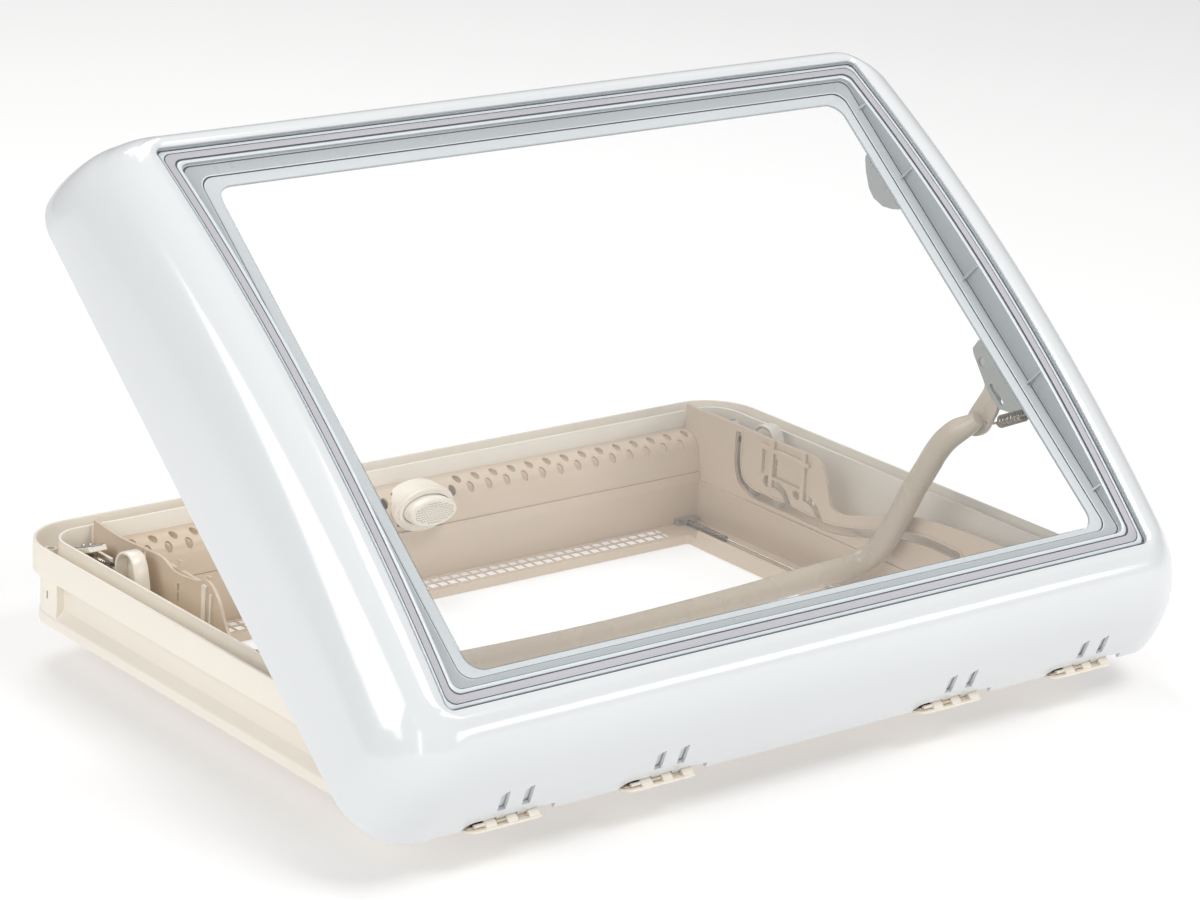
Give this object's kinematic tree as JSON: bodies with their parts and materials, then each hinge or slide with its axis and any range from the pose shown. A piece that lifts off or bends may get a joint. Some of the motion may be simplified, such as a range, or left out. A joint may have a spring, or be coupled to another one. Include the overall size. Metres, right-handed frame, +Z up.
{
  "type": "roof vent cover",
  "caption": "Caravan rooflight: cream frame with gutter and liner, hinged white lid with a domed double pane, and a U-shaped bow handle that folds under the lid.",
  "frame": {"origin": "bottom centre of the bounding box, lid fully open", "axes": "+Z up, +X along the hinge edge, -Y the hinge edge, +Y the edge of the lid that lifts"},
  "size_m": [0.8758, 0.6128, 0.4894],
  "materials": {
    "cream_plastic": "satin moulded, warm cream",
    "white_shell": "glossy moulded white",
    "grey_frame": "satin grey",
    "clear_acrylic": "clear polished acrylic",
    "seal": "soft grey rubber",
    "steel": "bright steel",
    "dark_spring_steel": "oiled dark spring steel"
  },
  "bodies": {
    "base": {"outer_frame": "cream_plastic", "liner_frame": "cream_plastic", "vent_grille": "cream_plastic", "guide_wall_right": "cream_plastic", "guide_wall_left": "cream_plastic", "vent_rail": "cream_plastic", "front_rail": "cream_plastic", "button_collar": "cream_plastic", "anchor_bracket_right": "cream_plastic", "anchor_plate_right": "steel", "plunger_lug_right": "cream_plastic", "plunger_spring_right": "dark_spring_steel", "guide_wire_right": "steel", "wire_spring_right": "dark_spring_steel", "wire_clip_right": "steel", "anchor_bracket_left": "cream_plastic", "anchor_plate_left": "steel", "plunger_lug_left": "cream_plastic", "plunger_spring_left": "dark_spring_steel", "guide_wire_left": "steel", "wire_spring_left": "dark_spring_steel", "wire_clip_left": "steel", "gutter_boss": "cream_plastic", "hinge_block_1": "cream_plastic", "hinge_pin_1": "steel", "hinge_block_2": "cream_plastic", "hinge_pin_2": "steel", "hinge_block_3": "cream_plastic", "hinge_pin_3": "steel", "hinge_block_4": "cream_plastic", "hinge_pin_4": "steel"},
    "lid": {"hood": "white_shell", "outer_pane": "clear_acrylic", "gasket": "seal", "pane_frame": "grey_frame", "inner_pane": "clear_acrylic", "lower_bracket_right": "grey_frame", "upper_bracket_right": "grey_frame", "bow_pin_right": "steel", "lower_bracket_left": "grey_frame", "upper_bracket_left": "grey_frame", "bow_pin_left": "steel", "hinge_leaf_1": "white_shell", "hinge_leaf_2": "white_shell", "hinge_leaf_3": "white_shell", "hinge_leaf_4": "white_shell"},
    "bow": {"bow": "cream_plastic"},
    "button": {"lock_button": "cream_plastic"},
    "gate_right": {"latch_gate_right": "cream_plastic"},
    "lever_right": {"release_lever_right": "cream_plastic"},
    "spring_right": {"bow_spring_right": "steel"},
    "gate_left": {"latch_gate_left": "cream_plastic"},
    "lever_left": {"release_lever_left": "cream_plastic"},
    "spring_left": {"bow_spring_left": "steel"}
  },
  "joints": [
    {"name": "lid_hinge", "type": "hinge", "parent": "base", "child": "lid", "pos_m": [0, -0.26755, 0.056], "axis": [1, 0, 0], "range_deg": [-38.6, 0]},
    {"name": "bow_pivot", "type": "hinge", "parent": "lid", "child": "bow", "pos_m": [0, -0.11102, 0.26676], "axis": [1, 0, 0], "range_deg": [0, 103]},
    {"name": "button_slide", "type": "slide", "parent": "base", "child": "button", "axis": [0, 1, 0], "range_m": [0, 0.0035], "stiffness_N_per_m": 900},
    {"name": "spring_pivot_right", "type": "hinge", "parent": "lid", "child": "spring_right", "pos_m": [0.348, -0.15722, 0.22846], "axis": [1, 0, 0], "range_deg": [0, 48]},
    {"name": "gate_slide_right", "type": "slide", "parent": "base", "child": "gate_right", "axis": [0, 0, 1], "range_m": [0, 0.006]},
    {"name": "lever_hinge_right", "type": "hinge", "parent": "base", "child": "lever_right", "pos_m": [0.3565, 0.18144, 0.044], "axis": [1, 0, 0], "range_deg": [0, 3]},
    {"name": "spring_pivot_left", "type": "hinge", "parent": "lid", "child": "spring_left", "pos_m": [-0.348, -0.15722, 0.22846], "axis": [1, 0, 0], "range_deg": [0, 48]},
    {"name": "gate_slide_left", "type": "slide", "parent": "base", "child": "gate_left", "axis": [0, 0, 1], "range_m": [0, 0.006]},
    {"name": "lever_hinge_left", "type": "hinge", "parent": "base", "child": "lever_left", "pos_m": [-0.3565, 0.18144, 0.044], "axis": [1, 0, 0], "range_deg": [0, 3]}
  ],
  "couplings": [
    {"joint": "bow_pivot", "follows": "lid_hinge", "ratio": -2.66},
    {"joint": "spring_pivot_right", "follows": "lid_hinge", "ratio": -1.235},
    {"joint": "spring_pivot_left", "follows": "lid_hinge", "ratio": -1.235}
  ]
}
